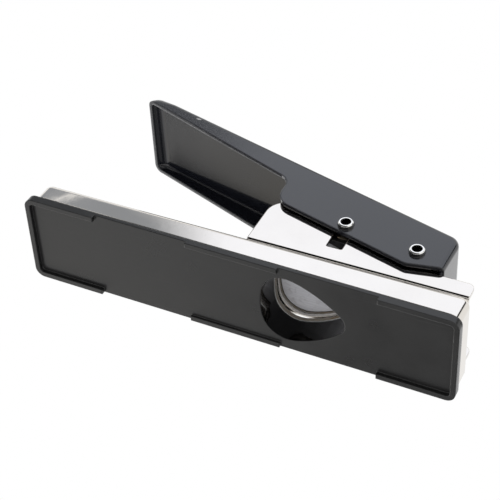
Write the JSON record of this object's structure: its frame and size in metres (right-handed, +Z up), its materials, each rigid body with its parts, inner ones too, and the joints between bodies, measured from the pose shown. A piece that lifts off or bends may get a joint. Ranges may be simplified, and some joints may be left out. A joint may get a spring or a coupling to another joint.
{
  "type": "guitar pick punch",
  "caption": "Hand lever punch on a long low base: the lever turns on an upright frame and drives a pick-shaped ram through a die to cut guitar picks from plastic card.",
  "frame": {"origin": "centre of the base's footprint, on the table that the base stands on", "axes": "+X along the base from the lever's free end to its pivot, +Y across the base, +Z up"},
  "size_m": [0.165, 0.0374, 0.0769],
  "materials": {
    "black_plastic": "fine satin",
    "chrome_plate": "bright plated",
    "tool_steel": "ground",
    "bright_steel": "bright zinc",
    "dark_steel": "blackened",
    "spring_wire": "drawn wire",
    "bush_brass": "sintered",
    "pin_chrome": "bright plated",
    "black_paint": "gloss"
  },
  "bodies": {
    "base": {"bottom_cover": "black_plastic", "base_pan": "chrome_plate", "die_plate": "tool_steel", "die_rivets": "bright_steel", "anchor_plate": "bright_steel", "slot_shim": "bright_steel", "frame": "chrome_plate", "frame_rivets": "bright_steel", "guide_plate": "tool_steel", "guide_rivets": "bright_steel", "spring_posts": "bright_steel", "spring_front": "spring_wire", "spring_rear": "spring_wire", "pivot_bushes": "bush_brass"},
    "lever": {"handle": "black_paint", "drive_pin": "pin_chrome", "drive_sleeve": "tool_steel", "pivot_pin": "pin_chrome", "pivot_spacer": "bright_steel"},
    "ram": {"punch": "tool_steel", "crosshead": "bright_steel", "punch_screws": "dark_steel", "spring_buttons": "bright_steel"}
  },
  "joints": [
    {"name": "lever_press", "type": "hinge", "parent": "base", "child": "lever", "pos_m": [0.05685, 0, 0.02865], "axis": [0, -1, 0], "range_deg": [0, 15.6], "stiffness_Nm_per_rad": 1.6, "springref_deg": -6.3},
    {"name": "ram_slide", "type": "slide", "parent": "base", "child": "ram", "axis": [0.0131, 0, -0.9999], "range_m": [0, 0.00761], "deforming": ["spring_front", "spring_rear"]}
  ],
  "couplings": [
    {"joint": "ram_slide", "follows": "lever_press", "m_per_rad": 0.027918}
  ]
}
